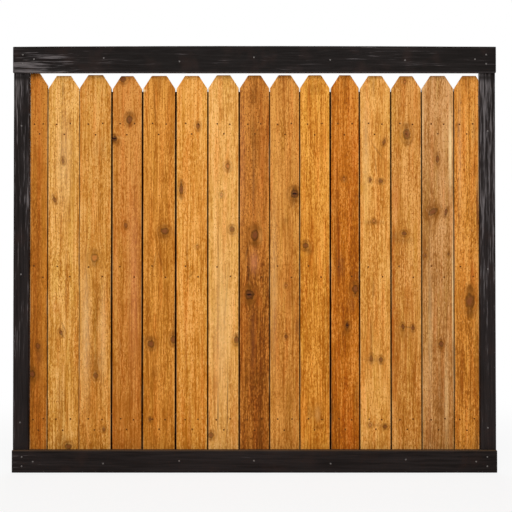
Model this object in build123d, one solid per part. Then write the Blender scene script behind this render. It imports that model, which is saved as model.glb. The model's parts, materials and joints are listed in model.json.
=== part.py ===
from build123d import *
import os
from math import sin

# A dog-eared privacy fence panel. X runs along the panel, Y from its front to its back, Z up.
# The origin is at the middle of the footprint, on the ground. All sizes are millimetres.

# Pickets: the upright boards, counted from the left
picket_height = 1820
picket_thickness = 16
picket_width = 140
# How much wider or narrower than picket_width each whole board came from the pile
width_differences = (3, 5, -5, 7, 2, 0, -4, -5, -4, -11, 0, -3, 5)
# The first and last boards are ripped down to what is left beside the stiles
first_picket_width = 79
last_picket_width = 113
# How far each board's top stands above or below picket_height
top_differences = (9, -2, 2, -3, -2, -2, 1, 0, 1, 1, 1, -2, -3, -2, -2)
# The gap to the right of each board, opened by shrinkage
picket_gaps = (3, 2.5, 6, 6, 6.5, 4.5, 4.5, 3.5, 3.5, 6, 4.5, 4.5, 4, 3)
picket_side_clearance = 1
ear_width = 39
ear_height = 60

# Battens: the square-cut boards behind the gaps, nailed to the back of the rails
batten_width = 64
batten_thickness = 16
batten_top_drop = 66

# Back rails: the level boards that the pickets are nailed to
back_rail_height = 89
back_rail_thickness = 38
lower_rail_centre = 214
middle_rail_centre = 915
upper_rail_drop = 248

# Stiles: the uprights that close the two ends
stile_width = 72
stile_thickness = 38

# Face boards: the top and bottom rails, lapped over the stiles
face_board_thickness = 22
top_rail_height = 124
bottom_rail_height = 103
top_slot = 4

# Nailer behind the top rail and filler behind the bottom rail, both cut in between the stiles
nailer_height = 89
nailer_drop = 12
filler_height = 101

# Eased arris along planed boards
arris = 3

# Nails: a forged six-sided head on a square shank
nail_head_sides = 6
nail_head_diameter = 7.5
nail_head_height = 1.5
nail_shank = 3.2
nail_clearance = 0.1
# The wood left past the tip of a nail in a back rail, and in the thinner nailer or filler
rail_tip_cover = 10
filler_tip_cover = 4

# Nail patterns
picket_nail_spread = 62
picket_nail_edge = 18
picket_nail_rise = 24
hand_error = 2.5
stile_nail_steps = {"lower": -12, "middle": 12, "upper": -12}
corner_nail_spread = 42
corner_nail_inset = 46
corner_nail_reach = 25
face_nail_count = 5

# Places along X
sawn_widths = [picket_width + difference for difference in (0, *width_differences, 0)]
picket_count = len(sawn_widths)
seen_widths = [first_picket_width, *sawn_widths[1:-1], last_picket_width]
opening_width = sum(seen_widths) + sum(picket_gaps) + 2 * picket_side_clearance
panel_width = opening_width + 2 * stile_width
picket_lefts = [
    -opening_width / 2 + picket_side_clearance + sum(seen_widths[:i]) + sum(picket_gaps[:i])
    for i in range(picket_count)
]

# Places along Y, from the front to the back
board_depth = face_board_thickness + stile_thickness + back_rail_thickness + batten_thickness
face_board_front = -board_depth / 2
stile_front = face_board_front + face_board_thickness
back_rail_front = stile_front + stile_thickness
picket_front = back_rail_front - picket_thickness
batten_front = back_rail_front + back_rail_thickness
batten_back = batten_front + batten_thickness

# Nail lengths, each from its head to its tip
picket_nail_length = picket_thickness + back_rail_thickness - rail_tip_cover
batten_nail_length = batten_thickness + back_rail_thickness - rail_tip_cover
stile_nail_length = stile_thickness + back_rail_thickness - rail_tip_cover
filler_thickness = stile_thickness - picket_thickness
face_nail_bite = filler_thickness - filler_tip_cover
face_nail_length = face_board_thickness + face_nail_bite

# Places along Z
upper_rail_centre = picket_height - upper_rail_drop
top_rail_bottom = picket_height + top_slot
panel_height = top_rail_bottom + top_rail_height
bottom_rail_middle = bottom_rail_height / 2
top_rail_middle = top_rail_bottom + top_rail_height / 2
batten_top = picket_height - batten_top_drop
back_rail_centres = {
    "lower": lower_rail_centre,
    "middle": middle_rail_centre,
    "upper": upper_rail_centre,
}


def block(left, right, front, back, bottom, top):
    """A square-edged board between six planes."""
    box = Box(right - left, back - front, top - bottom)
    return Pos((left + right) / 2, (front + back) / 2, (bottom + top) / 2) * box


def planed(board, long_axis):
    """The board with its four long arrises eased."""
    return fillet(board.edges().filter_by(long_axis), arris)


def by_hand(number):
    """How far off its mark a nail lands when it is set by eye."""
    return hand_error * sin(number * 2.4)


def shank(place, face, length, inward, width):
    """A square prism driven from a face along Y; inward is 1 from the front and -1 from the back."""
    x, z = place
    near, far = sorted((face, face + inward * length))
    return block(x - width / 2, x + width / 2, near, far, z - width / 2, z + width / 2)


def nail(place, face, length, inward=1):
    """One nail, its head on the board's face."""
    x, z = place
    outline = RegularPolygon(nail_head_diameter / 2, nail_head_sides)
    head_plane = Plane(origin=(x, face, z), z_dir=(0, -inward, 0))
    head = extrude(head_plane * outline, nail_head_height)
    return head + shank(place, face, length, inward, nail_shank)


def pierced(board, places, face, length, inward=1):
    """The board with a hole for each nail that is driven into it from the given face."""
    holes = [shank(place, face, length, inward, nail_shank + 2 * nail_clearance) for place in places]
    return board - holes if holes else board


def picket_outline(index):
    """The dog-eared face of one whole board, with its bottom left corner at the origin."""
    width = sawn_widths[index]
    top = picket_height + top_differences[index]
    shoulder = top - ear_height
    corners = [
        (0, 0),
        (width, 0),
        (width, shoulder),
        (width - ear_width, top),
        (ear_width, top),
        (0, shoulder),
    ]
    return make_face(Polyline(*corners, close=True))


def picket_nail_places(index, rail_name):
    """A picket's nails into one rail: two above one, and only two on a slant in the middle rail."""
    width = seen_widths[index]
    middle = picket_lefts[index] + width / 2
    half_spread = min(picket_nail_spread, width - 2 * picket_nail_edge) / 2
    centre = back_rail_centres[rail_name]
    upper = centre + picket_nail_rise
    lower = centre - picket_nail_rise
    if rail_name == "middle":
        marks = [(middle - half_spread, upper), (middle + half_spread, lower)]
    else:
        marks = [(middle - half_spread, upper), (middle + half_spread, upper), (middle, lower)]
    seed = len(marks) * index + centre
    return [
        (x + by_hand(seed + step), z + by_hand(seed + step + len(marks)))
        for step, (x, z) in enumerate(marks)
    ]


def rail_nail_places(rail_name):
    """The nails of every picket into one back rail."""
    places = []
    for index in range(picket_count):
        places += picket_nail_places(index, rail_name)
    return places


def stile_nail_places(side):
    """One nail where a stile crosses each back rail, stepped up and down the grain."""
    x = side * (panel_width - stile_width) / 2
    return {
        name: (x + by_hand(centre), centre + side * stile_nail_steps[name])
        for name, centre in back_rail_centres.items()
    }


def batten_nail_place(index, rail_centre):
    """One nail where a batten crosses a back rail."""
    return (batten_middle(index) + by_hand(index), rail_centre + by_hand(index + rail_centre))


def batten_middle(index):
    """The middle of the gap to the right of a picket."""
    return picket_lefts[index] + seen_widths[index] + picket_gaps[index] / 2


def corner_nail_places(side, centre):
    """A triangle of nails at a corner: two in the stile and one past it, in the nailer or filler."""
    outer = side * (panel_width / 2 - corner_nail_inset)
    inner = side * (opening_width / 2 - corner_nail_reach)
    half = corner_nail_spread / 2
    return {"stile": [(outer, centre - half), (outer, centre + half)], "inner": [(inner, centre)]}


def face_nail_places(centre):
    """The nails along a face board between its two corners."""
    step = opening_width / (face_nail_count + 1)
    return [
        (-opening_width / 2 + step * (i + 1) + by_hand(i), centre + 4 * by_hand(i + centre))
        for i in range(face_nail_count)
    ]


def face_board(bottom, height):
    """The top or bottom rail with all the holes through it."""
    centre = bottom + height / 2
    left = -panel_width / 2
    board = block(left, -left, face_board_front, stile_front, bottom, bottom + height)
    places = face_board_nail_places(centre)
    return pierced(planed(board, Axis.X), places, face_board_front, face_board_thickness)


def face_board_nail_places(centre):
    """Every nail in one face board."""
    places = face_nail_places(centre)
    for side in (-1, 1):
        corner = corner_nail_places(side, centre)
        places += corner["stile"] + corner["inner"]
    return places


def backing_places(centre):
    """The nails of one face board that end in the nailer or filler behind it."""
    places = face_nail_places(centre)
    for side in (-1, 1):
        places += corner_nail_places(side, centre)["inner"]
    return places


def stile(side):
    """An end upright, nailed to the back rails and holed by the corner nails."""
    outer = side * panel_width / 2
    inner = side * opening_width / 2
    left, right = sorted((outer, inner))
    board = block(left, right, stile_front, back_rail_front, 0, panel_height)
    board = planed(board, Axis.Z)
    rail_places = list(stile_nail_places(side).values())
    board = pierced(board, rail_places, stile_front, stile_thickness)
    for centre in (bottom_rail_middle, top_rail_middle):
        places = corner_nail_places(side, centre)["stile"]
        board = pierced(board, places, stile_front, face_nail_bite)
    return board


def top_nailer():
    """The flat board between the stiles that the top rail is nailed to."""
    top = panel_height - nailer_drop
    left = -opening_width / 2
    board = block(left, -left, stile_front, back_rail_front, top - nailer_height, top)
    places = backing_places(top_rail_middle)
    return pierced(planed(board, Axis.X), places, stile_front, face_nail_bite)


def bottom_filler():
    """The strip between the stiles that fills in behind the bottom rail, in front of the pickets."""
    left = -opening_width / 2
    board = block(left, -left, stile_front, picket_front, 0, filler_height)
    places = backing_places(bottom_rail_middle)
    return pierced(board, places, stile_front, face_nail_bite)


def picket(index):
    """One dog-eared board, ripped to its seen width and holed for its nails."""
    left = picket_lefts[index]
    sawn_left = left - (sawn_widths[0] - seen_widths[0] if index == 0 else 0)
    face = Plane(origin=(sawn_left, back_rail_front, 0), x_dir=(1, 0, 0), z_dir=(0, -1, 0))
    board = extrude(face * picket_outline(index), picket_thickness)
    right = left + seen_widths[index]
    top = picket_height + top_differences[index]
    board = board & block(left, right, picket_front, back_rail_front, 0, top)
    places = []
    for rail_name in back_rail_centres:
        places += picket_nail_places(index, rail_name)
    return pierced(board, places, picket_front, picket_thickness)


def batten(index):
    """One square-cut board behind a gap."""
    middle = batten_middle(index)
    left = middle - batten_width / 2
    board = block(left, left + batten_width, batten_front, batten_back, 0, batten_top)
    places = [batten_nail_place(index, centre) for centre in back_rail_centres.values()]
    return pierced(board, places, batten_back, batten_thickness, -1)


def back_rail(rail_name):
    """A level board behind the stiles and pickets, with the points of their nails in it."""
    centre = back_rail_centres[rail_name]
    left = -panel_width / 2
    bottom = centre - back_rail_height / 2
    board = block(left, -left, back_rail_front, batten_front, bottom, bottom + back_rail_height)
    board = planed(board, Axis.X)
    picket_places = rail_nail_places(rail_name)
    picket_bite = picket_nail_length - picket_thickness
    board = pierced(board, picket_places, back_rail_front, picket_bite)
    stile_places = [stile_nail_places(side)[rail_name] for side in (-1, 1)]
    board = pierced(board, stile_places, back_rail_front, stile_nail_length - stile_thickness)
    batten_places = [batten_nail_place(index, centre) for index in range(picket_count - 1)]
    batten_bite = batten_nail_length - batten_thickness
    return pierced(board, batten_places, batten_front, batten_bite, -1)


def picket_nails(rail_name):
    """All the nails that hold the pickets to one back rail."""
    places = rail_nail_places(rail_name)
    return [nail(place, picket_front, picket_nail_length) for place in places]


def face_board_nails(centre):
    """All the nails in one face board."""
    places = face_board_nail_places(centre)
    return [nail(place, face_board_front, face_nail_length) for place in places]


def stile_nails():
    """The nails that hold both stiles to the back rails."""
    places = [place for side in (-1, 1) for place in stile_nail_places(side).values()]
    return [nail(place, stile_front, stile_nail_length) for place in places]


def batten_nails():
    """The nails that hold the battens to the back of the rails."""
    places = [
        batten_nail_place(index, centre)
        for index in range(picket_count - 1)
        for centre in back_rail_centres.values()
    ]
    return [nail(place, batten_back, batten_nail_length, -1) for place in places]


def write(name, solids):
    """Save one sub-part, which may be a group of loose pieces."""
    group = Compound(children=solids) if isinstance(solids, list) else solids
    group.label = name
    export_step(group, f"parts/{name}.step")


os.makedirs("parts", exist_ok=True)
write("top_rail", face_board(top_rail_bottom, top_rail_height))
write("bottom_rail", face_board(0, bottom_rail_height))
write("left_stile", stile(-1))
write("right_stile", stile(1))
write("top_nailer", top_nailer())
write("bottom_filler", bottom_filler())
for rail_name in back_rail_centres:
    write(f"{rail_name}_back_rail", back_rail(rail_name))
    write(f"{rail_name}_picket_nails", picket_nails(rail_name))
for number in range(picket_count):
    write(f"picket_{number + 1:02d}", picket(number))
for number in range(picket_count - 1):
    write(f"batten_{number + 1:02d}", batten(number))
write("top_rail_nails", face_board_nails(top_rail_middle))
write("bottom_rail_nails", face_board_nails(bottom_rail_middle))
write("stile_nails", stile_nails())
write("batten_nails", batten_nails())
print("panel", panel_width, "by", panel_height, "by", board_depth + 2 * nail_head_height)
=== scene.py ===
import json
import math

import bpy
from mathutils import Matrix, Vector


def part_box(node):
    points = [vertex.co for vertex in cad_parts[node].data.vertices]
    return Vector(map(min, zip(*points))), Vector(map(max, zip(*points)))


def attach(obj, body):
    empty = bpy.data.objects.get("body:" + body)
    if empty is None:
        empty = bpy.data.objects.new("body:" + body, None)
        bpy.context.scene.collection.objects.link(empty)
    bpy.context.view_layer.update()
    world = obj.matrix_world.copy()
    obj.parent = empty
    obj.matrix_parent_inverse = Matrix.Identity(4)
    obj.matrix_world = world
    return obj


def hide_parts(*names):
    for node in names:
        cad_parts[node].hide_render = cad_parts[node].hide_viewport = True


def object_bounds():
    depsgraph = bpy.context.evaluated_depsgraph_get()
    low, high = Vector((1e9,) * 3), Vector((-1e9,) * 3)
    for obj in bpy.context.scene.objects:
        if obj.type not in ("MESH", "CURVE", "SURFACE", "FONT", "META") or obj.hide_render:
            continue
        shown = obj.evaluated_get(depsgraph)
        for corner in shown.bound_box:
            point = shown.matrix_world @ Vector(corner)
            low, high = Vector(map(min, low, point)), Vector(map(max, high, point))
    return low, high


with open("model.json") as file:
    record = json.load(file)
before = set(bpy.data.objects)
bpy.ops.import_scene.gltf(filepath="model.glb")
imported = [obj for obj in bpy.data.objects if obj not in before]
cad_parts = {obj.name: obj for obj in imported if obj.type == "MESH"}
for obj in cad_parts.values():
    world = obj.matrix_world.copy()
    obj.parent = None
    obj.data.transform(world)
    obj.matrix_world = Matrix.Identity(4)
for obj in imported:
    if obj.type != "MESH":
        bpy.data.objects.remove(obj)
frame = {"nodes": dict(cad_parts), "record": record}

cad_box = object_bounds()

# The view. A long lens square on to the panel, a little below its middle and tipped up by
# less than a degree, so that the panel's foot comes out slightly wider than its head.
view_distance = 5.0
view_height = 0.915
view_aside = 0.007
view_tip = math.radians(0.82)
sensor_width = 36.0
seen_width = 2.3335
far_clip = 200.0
lens = bpy.data.cameras.new("view")
lens.sensor_width = sensor_width
lens.lens = sensor_width * view_distance / seen_width
lens.clip_end = far_clip
camera = bpy.data.objects.new("view", lens)
camera.location = (view_aside, cad_box[0][1] - view_distance, view_height)
camera.rotation_euler = (math.pi / 2 + view_tip, 0.0, 0.0)
bpy.context.scene.collection.objects.link(camera)
bpy.context.scene.camera = camera
bpy.context.scene.view_settings.view_transform = "Standard"


# The pickets: sawn cedar boards with dog-eared tops, stained clear to a warm amber. Each is
# cut from its own log, so each has its own tone, its own run of growth rings and its own knots.
class Wire:
    """A socket in a node tree. Sums, products and powers of wires add their own Math nodes."""

    def __init__(self, tree, socket=None):
        self.tree = tree
        self.socket = socket

    def add(self, kind, settings=(), sockets=(), take=0):
        """Adds any other node: first its settings, then the values or links of its sockets."""
        node = self.tree.nodes.new(kind)
        for name, value in dict(settings).items():
            if name == "stops":
                set_stops(node.color_ramp, value)
            else:
                setattr(node, name, value)
        for name, value in dict(sockets).items():
            if isinstance(value, Wire):
                self.tree.links.new(value.socket, node.inputs[name])
            else:
                node.inputs[name].default_value = value
        return Wire(self.tree, node.outputs[take] if node.outputs else None)

    def math(self, operation, *others):
        operands = dict(enumerate((self, *others)))
        return self.add("ShaderNodeMath", {"operation": operation}, operands)

    def faded(self):
        """1 where the wire is 0, dying away smoothly as it grows."""
        return (self * -1.0).math("EXPONENT")

    def split(self):
        """The three coordinates of a point."""
        return [self.add("ShaderNodeSeparateXYZ", sockets={0: self}, take=k) for k in range(3)]

    def point(self, **parts):
        """A point out of wires or numbers called x, y and z; what isn't named is 0."""
        sockets = {"xyz".index(name): part for name, part in parts.items()}
        return self.add("ShaderNodeCombineXYZ", sockets=sockets)

    def between(self, low, high):
        """Rises smoothly from 0 at low to 1 at high, and holds either side."""
        ends = {"Value": self, "From Min": low, "From Max": high}
        return self.add("ShaderNodeMapRange", {"interpolation_type": "SMOOTHSTEP"}, ends)

    def __add__(self, other):
        return self.math("ADD", other)

    def __sub__(self, other):
        return self.math("SUBTRACT", other)

    def __rsub__(self, other):
        return self * -1.0 + other

    def __mul__(self, other):
        return self.math("MULTIPLY", other)

    def __truediv__(self, other):
        return self.math("DIVIDE", other)

    def __pow__(self, other):
        return self.math("POWER", other)


def set_stops(ramp, stops):
    """Gives a colour ramp its stops, each a place and a grey level or a colour."""
    while len(ramp.elements) < len(stops):
        ramp.elements.new(1.0)
    for element, (place, value) in zip(ramp.elements, stops):
        element.position = place
        element.color = colour(value) if isinstance(value, tuple) else (value, value, value, 1.0)


def colour(shade):
    """A colour given as red, green and blue out of 255, as the renderer takes it."""
    channels = [channel / 255.0 for channel in shade]
    linear = [c / 12.92 if c < 0.04045 else ((c + 0.055) / 1.055) ** 2.4 for c in channels]
    return (*linear, 1.0)


def noise(across, through, along, detail=2.0, roughness=0.5):
    """Noise round 0 on three wires that already carry the size of the pattern."""
    point = across.point(x=across, y=through, z=along)
    settings = {"noise_dimensions": "3D"}
    sockets = {"Vector": point, "Scale": 1.0, "Detail": detail, "Roughness": roughness}
    return across.add("ShaderNodeTexNoise", settings, sockets) - 0.5


def pattern(place, across_rate, along_rate, seed, detail=2.0, roughness=0.5):
    """Noise round 0 that changes so fast, per metre, across the grain and along it."""
    across, through, along = place
    along = along * along_rate + seed
    return noise(across * across_rate, through * across_rate, along, detail, roughness)


def mixed(under, over, amount, blend="MIX"):
    """One colour over another by an amount that may vary over the surface."""
    settings = {"data_type": "RGBA", "blend_type": blend}
    sockets = {0: amount, 6: under, 7: over}
    return amount.add("ShaderNodeMix", settings, sockets, take=2)


def new_material(name):
    """An empty material and the wire that its tree is built from."""
    material = bpy.data.materials.new(name)
    material.use_nodes = True
    material.node_tree.nodes.clear()
    return material, Wire(material.node_tree)


def finish_material(start, base, roughness, height, relief, shine):
    """Closes a material: its colour, its roughness and the relief of its surface."""
    sockets = {"Strength": bump_strength, "Distance": relief, "Height": height}
    bump = start.add("ShaderNodeBump", sockets=sockets)
    sockets = {
        "Base Color": base,
        "Roughness": roughness,
        "Normal": bump,
        "Specular IOR Level": shine,
    }
    surface = start.add("ShaderNodeBsdfPrincipled", sockets=sockets)
    start.add("ShaderNodeOutputMaterial", sockets={"Surface": surface})


def place_on(start):
    """The three coordinates of the point, in metres in the panel's own frame."""
    return start.add("ShaderNodeTexCoord", take="Object").split()


# Tones are dark grain, middle and light grain. Fade is how much darker the foot is than the head.
# Edge shade is how dark the painted shade along the left and right arrises is, beside the gaps.
# Pith is where the log's middle lay, from the board's left edge, in widths, and depth is how far
# behind the face; figure is how plainly the growth rings show. A knot is millimetres in from the
# left edge, metres up, half width and half height in millimetres, lean in degrees and darkness. A
# mark is the same with its shade and strength in place of the darkness: heartwood, sapwood, resin
# and dirt by name.
boards = [
    dict(
        tones=((140, 77, 14), (175, 103, 30), (202, 131, 54)), fade=0.3,
        edge_shade=(0.6, 0.7), pith=0.55, depth=0.03, figure=0.5,
        knots=((37, 0.573, 8, 11, 0, 0.7), (10, 0.445, 12, 14, 0, 0.9)),
        marks=((44, 0.53, 16, 41, 0, "plum", 0.4), (27, 0.43, 23, 32, 0, "umber", 0.4),
               (41, 1.61, 10, 270, 0, "russet", 0.35), (64, 0.97, 12, 400, 0, "ochre", 0.3)),
    ),
    dict(
        tones=((162, 97, 22), (207, 143, 60), (238, 181, 104)), fade=0.4,
        edge_shade=(0.7, 0.1), pith=0.6, depth=0.03, figure=0.8,
        knots=((61, 0.634, 6, 9, 20, 0.8), (68, 1.425, 6, 9, 10, 0.7), (30, 1.247, 6, 10, 20, 0.7),
               (95, 0.113, 12, 10, 0, 0.8)),
        marks=((67, 1.75, 6, 41, 0, "umber", 0.5), (84, 0.83, 4, 160, 0, "umber", 0.45),
               (73, 0.66, 4, 37, 25, "umber", 0.5), (41, 0.75, 18, 32, 0, "russet", 0.3),
               (60, 0.3, 18, 140, 0, "umber", 0.3), (70, 0.14, 28, 37, 0, "umber", 0.3),
               (111, 1.34, 14, 270, 0, "ochre", 0.3), (74, 1.43, 37, 230, 0, "cream", 0.25)),
    ),
    dict(
        tones=((160, 95, 20), (202, 135, 54), (228, 168, 92)), fade=0.15,
        edge_shade=(0.1, 1.0), pith=0.5, depth=0.02, figure=0.6,
        knots=((69, 0.979, 14, 16, 0, 0.6), (76, 0.437, 9, 10, 0, 0.7), (113, 0.191, 7, 7, 0, 0.7)),
        marks=((77, 0.69, 10, 180, 0, "umber", 0.35), (80, 0.49, 23, 55, 0, "umber", 0.4),
               (30, 0.65, 18, 270, 0, "cream", 0.35), (71, 0.98, 37, 41, 0, "ochre", 0.5),
               (108, 0.65, 14, 200, 0, "cream", 0.25), (94, 1.48, 41, 55, 0, "umber", 0.2)),
    ),
    dict(
        tones=((156, 86, 16), (187, 116, 42), (216, 148, 74)), fade=0.35,
        edge_shade=(1.0, 1.0), pith=-0.3, depth=0.04, figure=0.4,
        knots=((48, 1.804, 11, 11, 0, 0.9), (78, 1.617, 11, 14, 0, 0.9), (8, 1.528, 10, 9, 0, 1.0),
               (61, 1.13, 7, 9, 0, 0.7)),
        marks=((78, 1.63, 26, 23, 0, "umber", 0.5), (79, 1.59, 7, 18, 0, "russet", 0.8),
               (34, 1.532, 24, 6, -8, "honey", 0.9), (21, 1.51, 18, 14, -30, "umber", 0.5),
               (37, 0.57, 6, 41, 0, "umber", 0.35), (58, 1.13, 32, 64, 0, "russet", 0.25),
               (100, 0.88, 23, 360, 0, "rose", 0.3)),
    ),
    dict(
        tones=((160, 92, 18), (199, 128, 45), (230, 160, 76)), fade=0.2,
        edge_shade=(1.0, 1.0), pith=0.5, depth=0.012, figure=1.0,
        knots=((99, 1.102, 14, 12, 0, 0.8), (37, 0.584, 12, 13, 0, 0.8), (138, 0.604, 9, 14, 0, 0.8),
               (33, 0.238, 6, 6, 0, 0.8)),
        marks=((4, 1.75, 8, 6, 0, "cream", 1.0), (73, 1.78, 14, 37, 0, "umber", 0.3),
               (55, 1.66, 4, 92, 3, "umber", 0.5), (52, 0.96, 4, 55, -12, "umber", 0.5),
               (83, 0.96, 4, 60, 16, "umber", 0.5), (14, 0.61, 23, 18, 0, "umber", 0.35),
               (140, 0.65, 7, 55, 0, "umber", 0.5), (56, 0.45, 14, 37, 0, "umber", 0.3),
               (92, 1.08, 28, 32, 0, "umber", 0.35), (41, 0.58, 32, 28, 0, "umber", 0.25)),
    ),
    dict(
        tones=((174, 102, 20), (215, 143, 56), (242, 177, 95)), fade=0.3,
        edge_shade=(1.0, 0.9), pith=0.3, depth=0.05, figure=0.6,
        knots=((99, 1.586, 7, 10, 0, 0.7), (22, 1.295, 7, 18, 0, 0.9), (96, 1.03, 6, 6, 0, 0.4)),
        marks=((49, 1.0, 4, 69, 0, "umber", 0.5), (67, 0.9, 5, 23, -40, "umber", 0.4),
               (44, 0.56, 4, 138, 0, "umber", 0.4), (63, 0.23, 7, 115, 0, "umber", 0.3)),
    ),
    dict(
        tones=((184, 118, 42), (222, 159, 78), (244, 187, 112)), fade=0.15,
        edge_shade=(0.9, 1.0), pith=0.45, depth=0.02, figure=0.5,
        knots=((90, 1.4, 9, 11, 0, 0.6), (61, 1.27, 6, 7, 0, 0.5), (109, 1.11, 9, 10, 0, 0.7),
               (130, 0.601, 8, 12, 0, 0.8), (13, 0.165, 11, 10, 0, 0.7)),
        marks=((45, 0.97, 4, 230, 0, "umber", 0.35), (82, 0.79, 4, 138, -4, "umber", 0.35),
               (45, 0.28, 2, 87, 0, "soot", 0.9), (88, 0.29, 2, 143, -1, "soot", 0.8),
               (3, 0.23, 6, 46, 0, "umber", 0.4), (63, 0.65, 37, 360, 0, "cream", 0.25),
               (118, 0.58, 18, 28, 0, "ochre", 0.6), (123, 0.23, 14, 138, 0, "russet", 0.3)),
    ),
    dict(
        tones=((112, 56, 10), (164, 96, 28), (208, 136, 60)), fade=0.5,
        edge_shade=(1.0, 0.7), pith=0.45, depth=0.012, figure=0.8,
        knots=((69, 1.084, 14, 20, 0, 0.9), (45, 0.81, 17, 17, 0, 1.0)),
        marks=((52, 1.113, 16, 8, 20, "umber", 0.6), (86, 1.113, 16, 8, -20, "umber", 0.6),
               (69, 1.046, 26, 8, 0, "umber", 0.7), (96, 1.078, 9, 25, 0, "honey", 0.6),
               (61, 1.73, 14, 55, 0, "umber", 0.45), (64, 1.34, 6, 207, 0, "plum", 0.55),
               (61, 1.57, 18, 83, 0, "umber", 0.35), (66, 0.96, 18, 46, 0, "rose", 0.5),
               (42, 0.9, 4, 60, 0, "soot", 0.6), (34, 1.01, 4, 41, -12, "soot", 0.5),
               (43, 0.77, 14, 23, 0, "umber", 0.6), (61, 0.6, 11, 147, 0, "plum", 0.6),
               (84, 0.42, 41, 41, 0, "umber", 0.4), (15, 0.65, 9, 230, 0, "russet", 0.3),
               (107, 1.48, 14, 138, 0, "russet", 0.3), (84, 0.79, 14, 37, 20, "russet", 0.4),
               (11, 1.43, 14, 320, 0, "rose", 0.2), (103, 0.19, 28, 64, 0, "umber", 0.3)),
    ),
    dict(
        tones=((156, 90, 22), (194, 126, 50), (222, 155, 76)), fade=0.25,
        edge_shade=(0.7, 0.9), pith=0.8, depth=0.03, figure=0.4,
        knots=((113, 1.274, 14, 15, 0, 1.0), (74, 0.852, 6, 6, 0, 0.6), (74, 0.617, 7, 7, 0, 0.7)),
        marks=((106, 1.23, 15, 23, 0, "umber", 0.5), (64, 1.78, 9, 32, 0, "umber", 0.3),
               (124, 0.66, 8, 41, 0, "plum", 0.5), (92, 0.79, 18, 55, 0, "umber", 0.25),
               (69, 1.15, 14, 14, 0, "umber", 0.35), (18, 0.88, 14, 320, 0, "cream", 0.2),
               (92, 0.26, 37, 138, 0, "umber", 0.15)),
    ),
    dict(
        tones=((166, 92, 12), (210, 137, 46), (242, 171, 79)), fade=0.35,
        edge_shade=(0.9, 1.0), pith=0.5, depth=0.03, figure=0.6,
        knots=((24, 1.035, 11, 10, 0, 0.9),),
        marks=((41, 1.01, 15, 18, 20, "umber", 0.6), (64, 1.76, 28, 28, 0, "umber", 0.3),
               (79, 0.26, 25, 46, 0, "umber", 0.5), (79, 0.26, 10, 28, 0, "honey", 0.6),
               (43, 0.27, 12, 32, 0, "umber", 0.35), (82, 0.2, 18, 7, 0, "umber", 0.45),
               (119, 0.65, 9, 320, 0, "umber", 0.2)),
    ),
    dict(
        tones=((140, 70, 6), (186, 105, 20), (226, 148, 64)), fade=0.3,
        edge_shade=(1.0, 0.9), pith=0.5, depth=0.02, figure=0.7,
        knots=((111, 0.836, 11, 15, 0, 0.9), (74, 0.669, 7, 9, 0, 1.0), (60, 1.342, 6, 7, 0, 0.6)),
        marks=((44, 0.94, 18, 46, 0, "plum", 0.5), (96, 0.76, 14, 37, 0, "plum", 0.4),
               (69, 0.64, 23, 23, 0, "umber", 0.5), (117, 0.33, 9, 83, 0, "soot", 0.35),
               (7, 0.27, 9, 46, 0, "umber", 0.5), (64, 1.78, 14, 37, 0, "umber", 0.35),
               (23, 1.11, 12, 270, 0, "umber", 0.3), (101, 1.48, 9, 230, 0, "russet", 0.3),
               (83, 0.14, 23, 138, 0, "russet", 0.3)),
    ),
    dict(
        tones=((174, 106, 30), (212, 146, 64), (240, 178, 99)), fade=0.25,
        edge_shade=(0.9, 1.0), pith=0.6, depth=0.03, figure=0.5,
        knots=((112, 1.512, 6, 9, -20, 0.7), (47, 1.338, 6, 6, 0, 0.7), (95, 1.331, 9, 6, 0, 0.8),
               (64, 1.148, 6, 6, 0, 0.6), (51, 0.516, 6, 11, 0, 0.7), (95, 0.511, 7, 9, 0, 0.8),
               (114, 0.204, 9, 6, 0, 0.8), (45, 0.212, 7, 6, 0, 0.6)),
        marks=((82, 1.47, 4, 46, 35, "umber", 0.5), (71, 1.41, 4, 41, 8, "umber", 0.45),
               (13, 1.3, 18, 23, 0, "ochre", 0.6), (63, 1.77, 6, 41, 0, "umber", 0.4),
               (62, 0.83, 6, 41, 0, "umber", 0.5), (51, 0.61, 6, 87, 0, "umber", 0.5),
               (64, 0.51, 51, 7, 0, "umber", 0.3), (64, 1.142, 44, 9, 0, "umber", 0.5),
               (27, 1.48, 14, 230, 0, "cream", 0.25), (82, 0.21, 37, 6, -8, "umber", 0.35)),
    ),
    dict(
        tones=((158, 90, 22), (196, 130, 54), (228, 165, 92)), fade=0.2,
        edge_shade=(1.0, 0.8), pith=0.3, depth=0.02, figure=0.5,
        knots=((72, 1.549, 13, 20, 0, 0.8), (59, 1.091, 9, 7, 0, 0.9), (52, 0.663, 6, 9, 0, 0.9),
               (98, 0.656, 6, 8, 0, 0.9), (62, 1.791, 6, 6, 0, 0.6)),
        marks=((21, 1.26, 14, 87, 0, "russet", 0.45), (90, 1.51, 5, 18, -30, "umber", 0.5),
               (53, 1.53, 32, 41, 0, "ochre", 0.45), (16, 1.08, 18, 23, 0, "umber", 0.4),
               (58, 1.06, 46, 14, 0, "umber", 0.4), (76, 0.66, 32, 3, -6, "soot", 0.5),
               (58, 0.63, 37, 23, 0, "umber", 0.25), (7, 0.65, 9, 320, 0, "russet", 0.35),
               (113, 1.06, 9, 138, 0, "ochre", 0.3)),
    ),
    dict(
        tones=((142, 87, 32), (186, 129, 68), (214, 160, 103)), fade=0.3,
        edge_shade=(0.8, 0.8), pith=0.55, depth=0.02, figure=0.7,
        knots=((72, 1.434, 6, 13, 0, 0.8), (49, 1.19, 19, 10, 35, 0.8), (111, 1.19, 6, 11, -15, 0.9),
               (14, 0.99, 5, 5, 0, 0.8), (122, 0.997, 5, 5, 0, 0.8), (87, 0.584, 8, 10, 0, 0.9)),
        marks=((131, 1.48, 7, 175, 0, "cream", 0.95), (140, 0.83, 3, 276, 0, "cream", 0.8),
               (6, 1.61, 4, 129, 0, "cream", 0.5), (82, 0.34, 16, 120, 0, "umber", 0.5),
               (73, 1.35, 6, 46, 0, "umber", 0.3), (54, 1.22, 16, 14, 35, "umber", 0.35),
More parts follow.
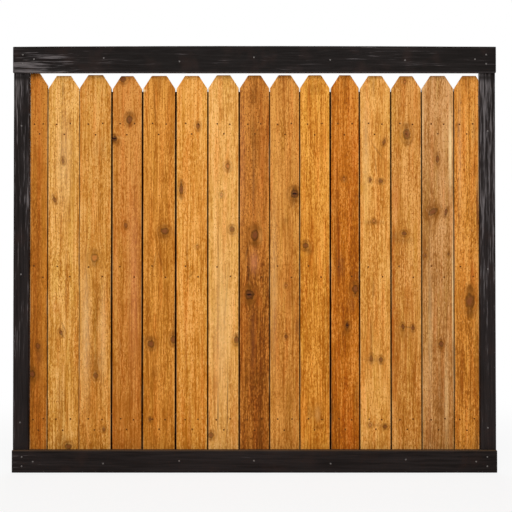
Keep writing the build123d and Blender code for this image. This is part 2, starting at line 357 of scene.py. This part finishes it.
               (84, 0.56, 10, 18, 0, "umber", 0.4), (36, 0.65, 9, 360, 0, "cream", 0.25),
               (110, 0.33, 9, 184, 0, "cream", 0.3), (68, 0.88, 23, 55, 0, "umber", 0.2)),
    ),
    dict(
        tones=((148, 84, 18), (204, 130, 47), (232, 163, 82)), fade=0.2,
        edge_shade=(0.8, 0.5), pith=0.5, depth=0.03, figure=0.6,
        knots=((71, 0.779, 16, 26, 0, 0.7),),
        marks=((71, 0.779, 15, 24, 0, "plum", 0.6), (62, 1.78, 14, 37, 0, "umber", 0.4),
               (106, 1.21, 4, 124, 0, "plum", 0.9), (83, 0.91, 6, 55, 0, "russet", 0.6),
               (71, 0.83, 16, 23, 0, "soot", 0.35), (74, 0.73, 16, 16, 0, "soot", 0.4),
               (100, 0.14, 9, 41, 0, "soot", 0.4), (100, 0.56, 7, 270, 0, "umber", 0.35),
               (26, 1.48, 9, 270, 0, "cream", 0.2), (72, 0.845, 10, 14, 0, "umber", 0.8),
               (76, 0.71, 12, 12, 0, "umber", 0.8), (93, 1.57, 9, 64, 0, "umber", 0.4)),
    ),
]
mark_shades = {
    "umber": (112, 62, 8),
    "russet": (178, 84, 20),
    "plum": (104, 54, 26),
    "rose": (204, 128, 88),
    "cream": (240, 204, 146),
    "ochre": (196, 132, 36),
    "honey": (226, 160, 84),
    "soot": (46, 28, 16),
}
yellower = (238, 242, 200)
redder = (255, 226, 200)
ring_size = 0.006
late_wood = ((0.0, 0.15), (0.4, 0.2), (0.85, 1.0), (1.0, 0.15))
knot_swerve = 0.8
halo_shade = (166, 98, 30)
sound_knot_shade = (188, 112, 54)
dead_knot_shade = (116, 62, 32)
knot_rim_shade = (66, 34, 6)
crack_shade = (30, 16, 6)
arris_highlight = (244, 200, 138)
painted_side_shade = (42, 15, 2)
# The darkness from which a knot is dead, and that from which it is cracked as well.
dead_from = 0.65
cracked_from = 1.0
bump_strength = 0.6
picket_relief = 0.0006
picket_shine = 0.05
arris_width = 0.0045
# How deep behind the face the painted shade on a board's sides begins, and where it ends.
side_start = (0.0006, 0.003)
side_end = (0.012, 0.0155)
# How far in from each arris the painted shade beside the gaps reaches.
edge_shade_line = (0.0007, 0.0026)
ear_width = 0.039
ear_height = 0.060
ear_blend = 0.01


def leaning(across, z, place, height, half_width, half_height, lean):
    """Half width and half height of a knot or mark, the way aside and up from its middle, and
    that way turned by its lean."""
    tilt = math.radians(lean)
    aside = across - place / 1000.0
    above = z - height
    level = aside * math.cos(tilt) + above * math.sin(tilt)
    upright = above * math.cos(tilt) - aside * math.sin(tilt)
    return (half_width / 1000.0, half_height / 1000.0), (aside, above), (level, upright)


def cedar(name, board, low, high, seed):
    """Cedar sawn through its growth rings, with the grain parted round each knot."""
    material, start = new_material(name)
    x, y, z = place = place_on(start)
    across = x - low.x
    ragged = pattern(place, 110.0, 60.0, seed, 3.0, 0.6)
    grain = across + pattern(place, 20.0, 3.0, seed) * 0.004
    knots = []
    for *spot, darkness in board["knots"]:
        (wide, tall), (aside, above), (level, upright) = leaning(across, z, *spot)
        near = ((aside / (wide * 2.2)) ** 2.0 + (above / (tall * 3.4)) ** 2.0).faded()
        grain = grain - aside * near * knot_swerve
        distance = ((level / wide) ** 2.0 + (upright / tall) ** 2.0) ** 0.5 + ragged * 1.2
        away = ((upright / tall).math("ABSOLUTE") - 1.7) / 0.8
        tail = (level / (wide * 0.9)) ** 2.0 + away**2.0 + ragged * 2.0
        knots.append((distance, tail, upright, darkness))
    grown = (grain, y, z)
    broad = pattern(grown, 9.0, 0.9, seed)
    blotch = pattern(place, 20.0, 9.0, seed, 3.0, 0.6)
    streak = pattern(grown, 75.0, 1.4, seed, 3.0)
    fine = pattern(grown, 210.0, 9.0, seed)
    pores = pattern(grown, 160.0, 48.0, seed, 2.0, 0.7)
    wander = pattern(place, 0.0, 1.1, seed * 1.7) * 0.05
    sweep = pattern(place, 0.0, 0.8, seed * 2.3) * 0.1
    pith = board["pith"] * board["width"]
    behind = sweep - y + board["depth"]
    radius = ((grain - pith + wander) ** 2.0 + behind**2.0) ** 0.5
    phase = (radius / ring_size + streak * 1.2).math("FRACT")
    late = start.add("ShaderNodeValToRGB", {"stops": late_wood}, {0: phase})
    plain = pattern(place, 16.0, 2.2, seed * 3.1).between(-0.2, 0.25)
    fade = (z - board["height"] / 2.0) / board["height"] * board["fade"]
    patch = pattern(place, 10.0, 4.0, seed * 2.9).between(-0.2, 0.2)
    field = broad * 1.1 + blotch * 0.8 + streak * 1.6 + fine * 1.6 + pores * (patch * 1.9 + 1.0)
    field = field - late * plain * (0.6 * board["figure"]) + fade + 0.58
    dark, middle, light = board["tones"]
    stops = ((0.0, dark), (0.5, middle), (1.0, light))
    base = start.add("ShaderNodeValToRGB", {"stops": stops}, {0: field})
    tint = pattern(grown, 55.0, 3.0, seed * 1.9)
    base = mixed(base, colour(yellower), tint.between(0.0, 0.22) * 0.5, "MULTIPLY")
    base = mixed(base, colour(redder), (tint * -1.0).between(0.0, 0.22) * 0.5, "MULTIPLY")
    fleck = pattern(grown, 230.0, 110.0, seed, 1.0).between(0.1, 0.18)
    base = mixed(base, colour(dark), fleck)
    glint = pattern(grown, 220.0, 40.0, seed * 1.3, 1.0).between(0.13, 0.24)
    base = mixed(base, colour(light), glint * 0.7)
    for *spot, shade, strength in board["marks"]:
        (wide, tall), _, (level, upright) = leaning(across, z, *spot)
        spread = (level / wide) ** 2.0 + (upright / tall) ** 2.0 + ragged * 1.5
        amount = spread.faded().math("MINIMUM", 1.0) * strength
        base = mixed(base, colour(mark_shades[shade]), amount)
    from_right = board["width"] - across
    edge = across.math("MINIMUM", from_right)
    # Painted highlight: a pale line along each front arris, broken into patches.
    rubbed_and_highlit = pattern(place, 8.0, 5.0, seed * 4.7, 3.0).between(-0.1, 0.2)
    base = mixed(base, colour(arris_highlight), (1.0 - edge.between(0.0, arris_width)) * rubbed_and_highlit * 0.7)
    for distance, tail, upright, darkness in knots:
        halo = (distance * distance * 0.16).faded()
        base = mixed(base, colour(halo_shade), halo * (0.45 * darkness))
        ring = (((distance - 2.3) / 0.45) ** 2.0).faded()
        base = mixed(base, colour(mark_shades["umber"]), ring * (0.35 * darkness))
        trail = tail.faded().math("MINIMUM", 1.0)
        base = mixed(base, colour(mark_shades["umber"]), trail * (0.75 * darkness))
        core = 1.0 - distance.between(0.4, 1.2)
        heart = sound_knot_shade if darkness < dead_from else dead_knot_shade
        base = mixed(base, colour(heart), core * (0.3 + 0.65 * darkness))
        rim = (((distance - 1.05) / 0.35) ** 2.0).faded()
        base = mixed(base, colour(knot_rim_shade), rim * (0.15 + 0.65 * darkness))
        if darkness >= cracked_from:
            split = 1.0 - (upright + ragged * 0.012).math("ABSOLUTE").between(0.0015, 0.006)
            base = mixed(base, colour(crack_shade), core * (split * 0.7 + 0.3))
    # Painted shade: the board's sides, seen down the gaps, and thin lines along its front arrises
    # are darkened below the ears.
    depth = y - low.y
    painted_shade_mask = depth.between(*side_start) * (1.0 - depth.between(*side_end))
    below_ears = 1.0 - z.between(high.z - ear_height - ear_blend, high.z - ear_height)
    left_edge_shade, right_edge_shade = board["edge_shade"]
    left_line = (1.0 - across.between(*edge_shade_line)) * left_edge_shade
    right_line = (1.0 - from_right.between(*edge_shade_line)) * right_edge_shade
    painted_shade_mask = painted_shade_mask.math("MAXIMUM", left_line).math("MAXIMUM", right_line) * below_ears
    base = mixed(base, colour(painted_side_shade), painted_shade_mask * 0.92)
    roughness = (fine * 0.3 + 0.56).math("MAXIMUM", painted_shade_mask)
    height = fine * 0.5 + late * 0.25 + streak * 0.5
    finish_material(start, base, roughness, height, picket_relief, picket_shine)
    return material


def new_tree(name, sizes):
    """A geometry tree that takes a mesh and one input for each size, and its wires by name."""
    tree = bpy.data.node_groups.new(name, "GeometryNodeTree")
    tree.interface.new_socket(name="Geometry", in_out="OUTPUT", socket_type="NodeSocketGeometry")
    tree.interface.new_socket(name="Mesh", in_out="INPUT", socket_type="NodeSocketGeometry")
    for size in sizes:
        tree.interface.new_socket(name=size, in_out="INPUT", socket_type="NodeSocketFloat")
    tree.interface.new_socket(name="Finish", in_out="INPUT", socket_type="NodeSocketMaterial")
    group = tree.nodes.new("NodeGroupInput")
    wires = {name: Wire(tree, group.outputs[name]) for name in ("Mesh", *sizes, "Finish")}
    return tree, wires


def close_tree(tree, shape, finish):
    """Ends a tree: real geometry with its material on."""
    real = shape.add("GeometryNodeRealizeInstances", sockets={0: shape})
    done = shape.add("GeometryNodeSetMaterial", sockets={"Geometry": real, "Material": finish})
    output = tree.nodes.new("NodeGroupOutput")
    tree.links.new(done.socket, output.inputs[0])


arris_angle = math.radians(40.0)
sharp_angle = math.radians(38.0)


def make(name, tree, values, material, arris=0.0, source=None):
    """Runs a tree with its values and keeps the result as a plain mesh, its arrises rounded."""
    mesh = source or bpy.data.meshes.new(name)
    piece = bpy.data.objects.new(name, mesh)
    bpy.context.scene.collection.objects.link(piece)
    modifier = piece.modifiers.new("shape", "NODES")
    modifier.node_group = tree
    for item in tree.interface.items_tree:
        if item.in_out == "INPUT" and item.name in values:
            modifier[item.identifier] = values[item.name]
        if item.in_out == "INPUT" and item.name == "Finish":
            modifier[item.identifier] = material
    if arris:
        bevel = piece.modifiers.new("arris", "BEVEL")
        bevel.width = arris
        bevel.segments = 3
        bevel.limit_method = "ANGLE"
        bevel.angle_limit = arris_angle
    seen = piece.evaluated_get(bpy.context.evaluated_depsgraph_get())
    result = bpy.data.meshes.new_from_object(seen)
    piece.modifiers.clear()
    piece.data = result
    result.name = name
    for polygon in result.polygons:
        polygon.use_smooth = True
    result.set_sharp_from_angle(angle=sharp_angle)
    return piece


def slot_of(node):
    """The record's material slot for a node."""
    parts = frame["record"]["subparts"]
    return next(part["material_slot"] for part in parts if part["node"] == node)


def stand_for(piece, node):
    """The piece rides with the panel and is shown in place of the plain node."""
    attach(piece, "root")
    slot_of(node)
    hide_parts(node)


picket_sizes = ("Left", "Front", "Width", "Thickness", "Height", "Left Ear", "Right Ear", "Seed")
right_ears = {0: 0.036, len(boards) - 1: 0.012}
edge_waver = 0.0011
face_waver = 0.0012
picket_arris = 0.0012
weld_distance = 0.0002
seed_step = 7.3
picket_tree, size = new_tree("dog_eared_picket", picket_sizes)
start = Wire(picket_tree)
block_size = start.point(x=size["Width"], y=size["Thickness"], z=size["Height"])
counts = {"Size": block_size, "Vertices X": 34, "Vertices Y": 3, "Vertices Z": 130}
block = start.add("GeometryNodeMeshCube", sockets=counts)
spot_x, spot_y, spot_z = start.add("GeometryNodeInputPosition").split()
from_left = spot_x + size["Width"] / 2.0
from_right = size["Width"] / 2.0 - spot_x
slope = ear_height / ear_width
left_drop = (size["Left Ear"] - from_left).math("MAXIMUM", 0.0) * slope
right_drop = (size["Right Ear"] - from_right).math("MAXIMUM", 0.0) * slope
up = spot_z + size["Height"] / 2.0
share = ((up - size["Height"]) / ear_height + 1.0).math("MAXIMUM", 0.0)
lowered = up - left_drop.math("MAXIMUM", right_drop) * share
seeded = lowered * 5.0 + size["Seed"]
side = (spot_x / size["Width"] * 2.0) ** 7.0
waver = noise(spot_x * 2.0, spot_y, seeded, 3.0) * side.math("ABSOLUTE") * (2.0 * edge_waver)
cup = noise(spot_x * 9.0, spot_y * 9.0, seeded * 0.4, 2.0) * (2.0 * face_waver)
shifted = start.point(
    x=from_left + size["Left"] + waver,
    y=spot_y + size["Thickness"] / 2.0 + size["Front"] + cup,
    z=lowered,
)
shaped = start.add("GeometryNodeSetPosition", sockets={0: block, "Position": shifted})
welding = {"Geometry": shaped, "Distance": weld_distance}
welded = start.add("GeometryNodeMergeByDistance", sockets=welding)
close_tree(picket_tree, welded, size["Finish"])

for number, board in enumerate(boards):
    node = f"picket_{number + 1:02d}"
    low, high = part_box(node)
    board["width"] = high.x - low.x
    board["height"] = high.z - low.z
    seed = seed_step * number + 1.0
    values = {
        "Left": low.x,
        "Front": low.y,
        "Width": board["width"],
        "Thickness": high.y - low.y,
        "Height": board["height"],
        "Left Ear": 0.0 if number == 0 else ear_width,
        "Right Ear": right_ears.get(number, ear_width),
        "Seed": seed,
    }
    material = cedar(f"cedar_{number + 1:02d}", board, low, high, seed)
    stand_for(make(f"cedar_{node}", picket_tree, values, material, picket_arris), node)


# The back rails and battens: sawn boards that the pickets are nailed to, and the strips behind the
# gaps. One tree cuts every plain board; the rails are weathered brown, and the battens near black
# so that the gaps read dark, as painted shade. Their front faces, seen only through the gaps, are
# painted near black as shade too.
board_sizes = ("Left", "Front", "Bottom", "Width", "Thickness", "Height", "Crown", "Waver", "Seed")


def board_tree(name, columns, layers, rows):
    """A tree that cuts a plain board, its long edges wavering and its top edge crowned."""
    tree, size = new_tree(name, board_sizes)
    start = Wire(tree)
    block_size = start.point(x=size["Width"], y=size["Thickness"], z=size["Height"])
    counts = {"Size": block_size, "Vertices X": columns, "Vertices Y": layers, "Vertices Z": rows}
    block = start.add("GeometryNodeMeshCube", sockets=counts)
    x, y, z = start.add("GeometryNodeInputPosition").split()
    share = (x / size["Width"] * 2.0) ** 2.0
    up = z / size["Height"] + 0.5
    edge_x = (x / size["Width"] * 2.0) ** 8.0
    edge_z = (z / size["Height"] * 2.0) ** 8.0
    drift_x = noise(x * 3.0 + size["Seed"], y * 30.0, z * 6.0, 3.0) * edge_x * size["Waver"]
    drift_z = noise(x * 6.0, y * 30.0, z * 3.0 + size["Seed"], 3.0) * edge_z * size["Waver"]
    drift_y = noise(x * 4.0, y * 5.0 + size["Seed"], z * 4.0, 2.0) * size["Waver"]
    crown = up * share * size["Crown"]
    middle_x = size["Left"] + size["Width"] / 2.0
    middle_z = size["Bottom"] + size["Height"] / 2.0
    placed = start.point(
        x=x * (1.0 - size["Waver"] / size["Width"]) + middle_x + drift_x,
        y=y + size["Front"] + size["Thickness"] / 2.0 + drift_y,
        z=z * (1.0 - size["Waver"] / size["Height"]) + middle_z + drift_z - crown,
    )
    shaped = start.add("GeometryNodeSetPosition", sockets={0: block, "Position": placed})
    close_tree(tree, shaped, size["Finish"])
    return tree


def cut_board(node, tree, material, seed, arris, crown=0.0, waver=0.0):
    """Cuts the board that stands for one node."""
    low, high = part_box(node)
    values = {
        "Left": low.x,
        "Front": low.y,
        "Bottom": low.z,
        "Width": high.x - low.x,
        "Thickness": high.y - low.y,
        "Height": high.z - low.z,
        "Crown": crown,
        "Waver": waver,
        "Seed": seed,
    }
    stand_for(make(f"cut_{node}", tree, values, material, arris), node)


def sawn_timber(name, tones, lengthwise, seed, shine, front):
    """Plain softwood, grain along X, 0, or Z, 2, with painted shade near black on its front face."""
    material, start = new_material(name)
    axes = place_on(start)
    place = (axes[2 - lengthwise], axes[1], axes[lengthwise])
    broad = pattern(place, 8.0, 1.1, seed)
    streak = pattern(place, 80.0, 1.6, seed, 3.0)
    fine = pattern(place, 300.0, 6.0, seed)
    field = broad * 1.2 + streak * 1.9 + fine * 0.9 + 0.5
    dark, middle, light = tones
    stops = ((0.05, dark), (0.5, middle), (0.95, light))
    base = start.add("ShaderNodeValToRGB", {"stops": stops}, {0: field})
    # Painted shade: the front face, which shows only through the gaps, goes near black.
    base = mixed(base, colour(painted_gap_shade), (front - axes[1]).between(*gap_darkening_depth))
    finish_material(start, base, fine * 0.3 + 0.7, fine + streak, timber_relief, shine)
    return material


upright_board = board_tree("upright_board", 7, 3, 110)
level_board = board_tree("level_board", 130, 3, 8)
rail_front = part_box("middle_back_rail")[0].y
batten_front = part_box("batten_01")[0].y
rail_tones = ((104, 66, 34), (146, 98, 54), (184, 134, 84))
# The battens are near black so that the gaps between the pickets read dark, as painted shade.
batten_shade_tones = ((34, 26, 22), (50, 38, 32), (74, 58, 48))
painted_gap_shade = (24, 9, 3)
gap_darkening_depth = (-0.003, -0.0015)
timber_relief = 0.0008
board_arris = 0.001
board_waver = 0.0012
batten_waver = 0.0016
frame_arris = 0.003
frame_waver = 0.001
rail_timber = sawn_timber("back_rail_timber", rail_tones, 0, 3.0, 0.1, rail_front)
batten_timber = sawn_timber("batten_timber", batten_shade_tones, 2, 11.0, 0.0, batten_front)
for number, name in enumerate(("lower", "middle", "upper")):
    node = f"{name}_back_rail"
    cut_board(node, level_board, rail_timber, 5.0 * number, frame_arris, waver=board_waver)
for number in range(1, len(boards)):
    node = f"batten_{number:02d}"
    cut_board(node, upright_board, batten_timber, 3.0 * number, board_arris, waver=batten_waver)


# The frame: stiles and face boards under a near-black stain that has worn back to grey along
# the grain. The face boards are nailed over the stiles, with a nailer and a filler behind them.
stain_shade = (38, 32, 31)
stain_deep = (16, 11, 9)
worn_shade = (104, 98, 98)
bare_shade = (150, 142, 138)
rust_shade = (44, 31, 27)
dust_and_highlight_shade = (150, 116, 82)
stain_relief = 0.0009
stain_shine = 0.06


def black_stain(name, lengthwise, seed, wear, shade_darkening, band, rise=0.0, worn_place=None):
    """Stain worn through in streaks, most of all round worn_place, given along and across."""
    material, start = new_material(name)
    axes = place_on(start)
    across, y, along = place = (axes[2 - lengthwise], axes[1], axes[lengthwise])
    grown = (across + pattern(place, 14.0, 7.0, seed) * 0.012, y, along)
    broad = pattern(place, 7.0, 2.0, seed)
    streak = pattern(grown, 130.0, 5.0, seed, 3.0)
    fine = pattern(grown, 260.0, 14.0, seed)
    # Shade darkening lowers this copy of the stain as painted shade: the top rail's copy is the
    # darkest, to offset the stronger light that falls on it from above.
    tone = (broad * 1.4 + streak * 1.8 + 0.5 - shade_darkening).between(-0.2, 1.0)
    base = mixed(colour(stain_deep), colour(stain_shade), tone)
    rust = pattern(place, 11.0, 11.0, seed * 1.6).between(0.0, 0.3)
    base = mixed(base, colour(rust_shade), rust * 0.5)
    worn = streak * 3.0 + fine * 2.2 + broad * 1.8 + wear + (along - 0.9) * rise
    if worn_place is not None:
        along_off = (along - worn_place[0]).math("ABSOLUTE").between(0.0, 0.3)
        across_off = (across - worn_place[1]).math("ABSOLUTE").between(0.0, 0.09)
        worn = worn + (1.0 - along_off) * (1.0 - across_off) * 0.95
    base = mixed(base, colour(worn_shade), worn.between(0.2, 1.0) * 0.85)
    chip = pattern(grown, 120.0, 60.0, seed, 2.0, 0.6)
    base = mixed(base, colour(bare_shade), (chip + worn * 0.07).between(0.3, 0.4) * 0.55)
    # A band of colour at a height: worn stain on the top rail's lower arris, painted shadow on the
    # stiles under the top rail, and dust with a painted highlight on the bottom rail's top arris.
    height, half_width, shade, amount = band
    near = (((axes[2] - height) / half_width) ** 2.0).faded()
    base = mixed(base, colour(shade), near * amount)
    roughness = fine * 0.35 + 0.55
    finish_material(start, base, roughness, fine + streak, stain_relief, stain_shine)
    return material


worn_end = (cad_box[0][0] + 0.1, 1.855)
foot_end = (cad_box[0][0] - 0.05, 0.05)
lower_arris = (1.826, 0.003, worn_shade, 0.25)
# The bottom rail's top arris: dust, and a painted highlight where the light from above falls on it.
foot_arris = (0.1025, 0.003, dust_and_highlight_shade, 0.2)
# Painted shadow on the stiles just under the top rail.
under_rail_shadow = (1.806, 0.016, stain_deep, 0.85)
rail_stain = black_stain("rail_stain", 0, 2.0, -0.4, 0.5, lower_arris, worn_place=worn_end)
foot_stain = black_stain("foot_stain", 0, 9.0, -0.7, 0.0, foot_arris, worn_place=foot_end)
stile_stain = black_stain("stile_stain", 2, 5.0, -0.08, 0.0, under_rail_shadow, rise=0.6)
face_board = board_tree("face_board", 160, 4, 12)
rail_crown = 0.0035
cut_board("top_rail", face_board, rail_stain, 1.0, frame_arris, rail_crown, frame_waver)
cut_board("bottom_rail", face_board, foot_stain, 8.0, frame_arris, waver=frame_waver)
cut_board("top_nailer", face_board, foot_stain, 4.0, frame_arris, waver=frame_waver)
cut_board("bottom_filler", face_board, foot_stain, 6.0, board_arris)
cut_board("left_stile", upright_board, stile_stain, 2.0, frame_arris, waver=frame_waver)
cut_board("right_stile", upright_board, stile_stain, 7.0, frame_arris, waver=frame_waver)


# The nails: round steel heads on plain shanks, driven flush and dulled by the weather. A tree
# drives one at each mark, and the marks are the places of the frame's own nails.
head_radius = 0.0038
head_height = 0.0015
shank_radius = 0.0017
nail_relief = 0.0002


def nail_marks(node):
    """A mesh with one vertex at the underside of each nail head, and the way the nails point."""
    low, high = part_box(node)
    vertices = [vertex.co for vertex in frame["nodes"][node].data.vertices]
    inward = -1.0 if node == "batten_nails" else 1.0
    outer = low.y if inward > 0.0 else high.y
    heads = {}
    for point in vertices:
        if abs(point.y - outer) < head_height / 2.0:
            cell = next(
                (key for key in heads if (Vector(key) - point).length < 3.0 * head_radius),
                tuple(point),
            )
            heads.setdefault(cell, []).append(point)
    marks = bpy.data.meshes.new(f"{node}_marks")
    middles = [sum(points, Vector()) / len(points) for points in heads.values()]
    marks.from_pydata([(m.x, m.y + inward * head_height, m.z) for m in middles], [], [])
    return marks, inward, abs(high.y - low.y)


nail_tree, size = new_tree("driven_nail", ("Length", "Turn"))
start = Wire(nail_tree)
counts = {"Vertices": 14, "Side Segments": 2, "Fill Segments": 3}
disc = {**counts, "Radius": head_radius, "Depth": head_height}
head = start.add("GeometryNodeMeshCylinder", {"fill_type": "TRIANGLE_FAN"}, disc)
head_x, head_y, head_z = start.add("GeometryNodeInputPosition").split()
off_centre = ((head_x**2.0 + head_y**2.0) ** 0.5) / head_radius
dome = (1.0 - off_centre**2.5 * 0.45) * (head_z / head_height + 0.5) * head_height
domed = start.point(x=head_x, y=head_y, z=dome)
head = start.add("GeometryNodeSetPosition", sockets={"Geometry": head, "Position": domed})
bare_length = size["Length"] - head_height
rod = {"Vertices": 8, "Radius": shank_radius, "Depth": bare_length}
shank = start.add("GeometryNodeMeshCylinder", sockets=rod)
sunk = start.point(z=bare_length * -0.5)
shank = start.add("GeometryNodeTransform", sockets={"Geometry": shank, "Translation": sunk})
nail = nail_tree.nodes.new("GeometryNodeJoinGeometry")
nail_tree.links.new(head.socket, nail.inputs[0])
nail_tree.links.new(shank.socket, nail.inputs[0])
turn = start.point(x=size["Turn"])
points = start.add("GeometryNodeMeshToPoints", sockets={"Mesh": size["Mesh"]})
drive = {"Points": points, "Instance": Wire(nail_tree, nail.outputs[0]), "Rotation": turn}
driven = start.add("GeometryNodeInstanceOnPoints", sockets=drive)
close_tree(nail_tree, driven, size["Finish"])


def nail_finish(name, dull, bright, shine):
    """Steel in two shades, the second where the head has been rubbed or has rusted."""
    material, start = new_material(name)
    patch = pattern(place_on(start), 500.0, 500.0, 0.0).between(-0.15, 0.15)
    steel = mixed(colour(dull), colour(bright), patch)
    finish_material(start, steel, patch * 0.2 + 0.5, patch, nail_relief, shine)
    return material


rusted = nail_finish("rusted_nail", (66, 36, 10), (116, 66, 22), 0.05)
rubbed_and_highlit = nail_finish("rubbed_nail", (60, 56, 54), (122, 116, 112), 0.25)
nail_finishes = {
    "upper_picket_nails": rusted,
    "middle_picket_nails": rusted,
    "lower_picket_nails": rusted,
    "stile_nails": rubbed_and_highlit,
    "top_rail_nails": rubbed_and_highlit,
    "bottom_rail_nails": rubbed_and_highlit,
    "batten_nails": rusted,
}
for node, finish in nail_finishes.items():
    marks_mesh, inward, length = nail_marks(node)
    values = {"Length": length, "Turn": inward * math.pi / 2.0}
    stand_for(make(f"driven_{node}", nail_tree, values, finish, source=marks_mesh), node)


# The studio: a white floor and background, one broad soft light above the camera, a weaker one
# behind the panel and an even fill from all round.
floor_reach = 60.0
whitening = (1.2, 3.5)
white_near = 0.84
fill_strength = 0.28
white_paint = (1.0, 1.0, 1.0, 1.0)
floor_paint = (0.95, 0.95, 0.95, 1.0)
floor_mesh = bpy.data.meshes.new("floor")
signs = ((-1, -1), (1, -1), (1, 1), (-1, 1))
corners = [(a * floor_reach, b * floor_reach, 0.0) for a, b in signs]
floor_mesh.from_pydata(corners, [], [(0, 1, 2, 3)])
floor = bpy.data.objects.new("floor", floor_mesh)
bpy.context.scene.collection.objects.link(floor)
floor_material, start = new_material("floor")
seen = start.add("ShaderNodeLightPath", take="Is Camera Ray")
x, y = place_on(start)[:2]
far = ((x**2.0 + y**2.0) ** 0.5).between(*whitening)
shown = seen * (far * (1.0 - white_near) + white_near)
matte = start.add("ShaderNodeBsdfDiffuse", sockets={"Color": floor_paint})
white = start.add("ShaderNodeEmission", sockets={"Color": white_paint, "Strength": 1.0})
surface = start.add("ShaderNodeMixShader", sockets={0: shown, 1: matte, 2: white})
start.add("ShaderNodeOutputMaterial", sockets={"Surface": surface})
floor_mesh.materials.append(floor_material)

world = bpy.data.worlds.new("studio")
bpy.context.scene.world = world
world.use_nodes = True
world.node_tree.nodes.clear()
start = Wire(world.node_tree)
camera_ray = start.add("ShaderNodeLightPath", take="Is Camera Ray")
glossy_ray = start.add("ShaderNodeLightPath", take="Is Glossy Ray")
clear_ray = start.add("ShaderNodeLightPath", take="Is Transmission Ray")
direct = camera_ray.math("MAXIMUM", glossy_ray).math("MAXIMUM", clear_ray)
dim = {"Color": white_paint, "Strength": fill_strength}
fill = start.add("ShaderNodeBackground", sockets=dim)
white = start.add("ShaderNodeBackground", sockets={"Color": white_paint, "Strength": 1.0})
backdrop = start.add("ShaderNodeMixShader", sockets={0: direct, 1: fill, 2: white})
start.add("ShaderNodeOutputWorld", sockets={"Surface": backdrop})

light_size = 6.0
key_power = 785.0
back_power = key_power * 0.7
lit_place = Vector((0.0, 0.0, 1.0))


def soft_light(name, place, power):
    """A broad square light turned to the middle of the panel."""
    lamp = bpy.data.lights.new(name, "AREA")
    lamp.size = light_size
    lamp.energy = power
    light = bpy.data.objects.new(name, lamp)
    light.location = place
    light.rotation_euler = (lit_place - place).to_track_quat("-Z", "Y").to_euler()
    bpy.context.scene.collection.objects.link(light)


soft_light("key", Vector((0.0, -10.0, 5.4)), key_power)
soft_light("back", Vector((0.0, 10.0, 5.4)), back_power)
